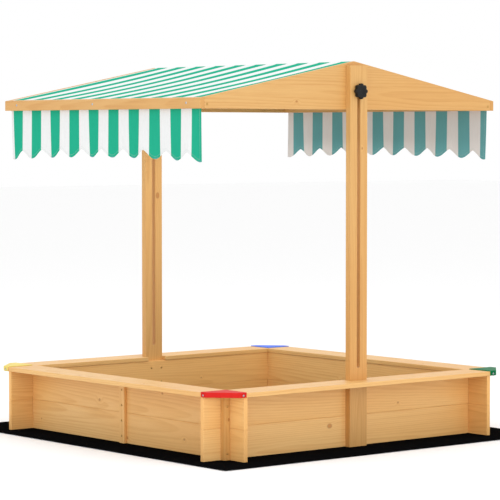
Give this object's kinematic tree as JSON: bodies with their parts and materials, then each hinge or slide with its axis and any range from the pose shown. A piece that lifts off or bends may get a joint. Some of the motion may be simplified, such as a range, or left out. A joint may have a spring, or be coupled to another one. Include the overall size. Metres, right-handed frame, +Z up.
{
  "type": "sandbox with cover",
  "caption": "Square wooden sandbox with a seat rim, coloured plastic corner caps, a ground sheet, and a striped cloth roof that slides down two slotted posts as a cover.",
  "frame": {"origin": "on the ground, in the middle of the box", "axes": "+X across the eaves, towards the blue and green corners; +Y along the ridge, towards the blue and yellow corners; +Z up"},
  "size_m": [1.32, 1.388, 1.1865],
  "materials": {
    "wall_wood": "planed softwood, clear varnish, with knots",
    "upright_wood": "planed softwood, clear varnish, upright grain",
    "rim_wood": "planed softwood, clear varnish, lighter boards",
    "roof_wood": "planed softwood, clear varnish",
    "cap_red": "moulded plastic, satin",
    "cap_green": "moulded plastic, satin",
    "cap_yellow": "moulded plastic, satin",
    "cap_blue": "moulded plastic, satin",
    "striped_cloth": "woven polyester, green and white stripes down the slope",
    "ground_cloth": "black woven ground cloth, matt",
    "steel": "zinc-plated",
    "knob_plastic": "black moulded plastic, fine grain"
  },
  "bodies": {
    "base": {"ground_sheet": "ground_cloth", "front_board_lower": "wall_wood", "front_board_upper": "wall_wood", "back_board_lower": "wall_wood", "back_board_upper": "wall_wood", "left_board_lower": "wall_wood", "left_board_upper": "wall_wood", "right_board_lower": "wall_wood", "right_board_upper": "wall_wood", "corner_batten_front_left": "upright_wood", "corner_batten_front_right": "upright_wood", "corner_batten_back_left": "upright_wood", "corner_batten_back_right": "upright_wood", "mid_batten_left": "upright_wood", "mid_batten_right": "upright_wood", "post_front": "upright_wood", "post_back": "upright_wood", "rim_front": "rim_wood", "rim_back": "rim_wood", "rim_left": "rim_wood", "rim_right": "rim_wood", "corner_cap_red": "cap_red", "corner_cap_green": "cap_green", "corner_cap_yellow": "cap_yellow", "corner_cap_blue": "cap_blue", "cap_screws": "steel", "rim_screws": "steel", "batten_screws": "steel", "post_screws": "steel"},
    "clamps": {"clamp_bolt_front": "steel", "clamp_bolt_back": "steel"},
    "roof": {"gable_front": "roof_wood", "gable_back": "roof_wood", "fascia_left": "roof_wood", "fascia_right": "roof_wood", "eave_batten_left": "roof_wood", "eave_batten_right": "roof_wood", "ridge_batten": "roof_wood", "canopy": "striped_cloth", "valance_left": "striped_cloth", "valance_right": "striped_cloth", "fascia_screws": "steel", "gable_screws": "steel"},
    "knob_front": {"knob_front": "knob_plastic", "knob_bush_front": "steel"},
    "knob_back": {"knob_back": "knob_plastic", "knob_bush_back": "steel"},
    "washer_front": {"washer_front": "steel"},
    "washer_back": {"washer_back": "steel"}
  },
  "joints": [
    {"name": "roof_lift", "type": "slide", "parent": "base", "child": "clamps", "axis": [0, 0, 1], "range_m": [-0.829, 0], "deforming": ["valance_left", "valance_right"]},
    {"name": "roof_tilt", "type": "hinge", "parent": "clamps", "child": "roof", "pos_m": [0, 0, 1.094], "axis": [0, 1, 0], "range_deg": [0, 30]},
    {"name": "knob_front_turn", "type": "hinge", "parent": "clamps", "child": "knob_front", "pos_m": [0, -0.54, 1.094], "axis": [0, -1, 0], "continuous": true},
    {"name": "knob_back_turn", "type": "hinge", "parent": "clamps", "child": "knob_back", "pos_m": [0, 0.54, 1.094], "axis": [0, 1, 0], "continuous": true},
    {"name": "washer_front_turn", "type": "hinge", "parent": "clamps", "child": "washer_front", "pos_m": [0, -0.53, 1.094], "axis": [0, -1, 0], "continuous": true},
    {"name": "washer_back_turn", "type": "hinge", "parent": "clamps", "child": "washer_back", "pos_m": [0, 0.53, 1.094], "axis": [0, 1, 0], "continuous": true}
  ]
}
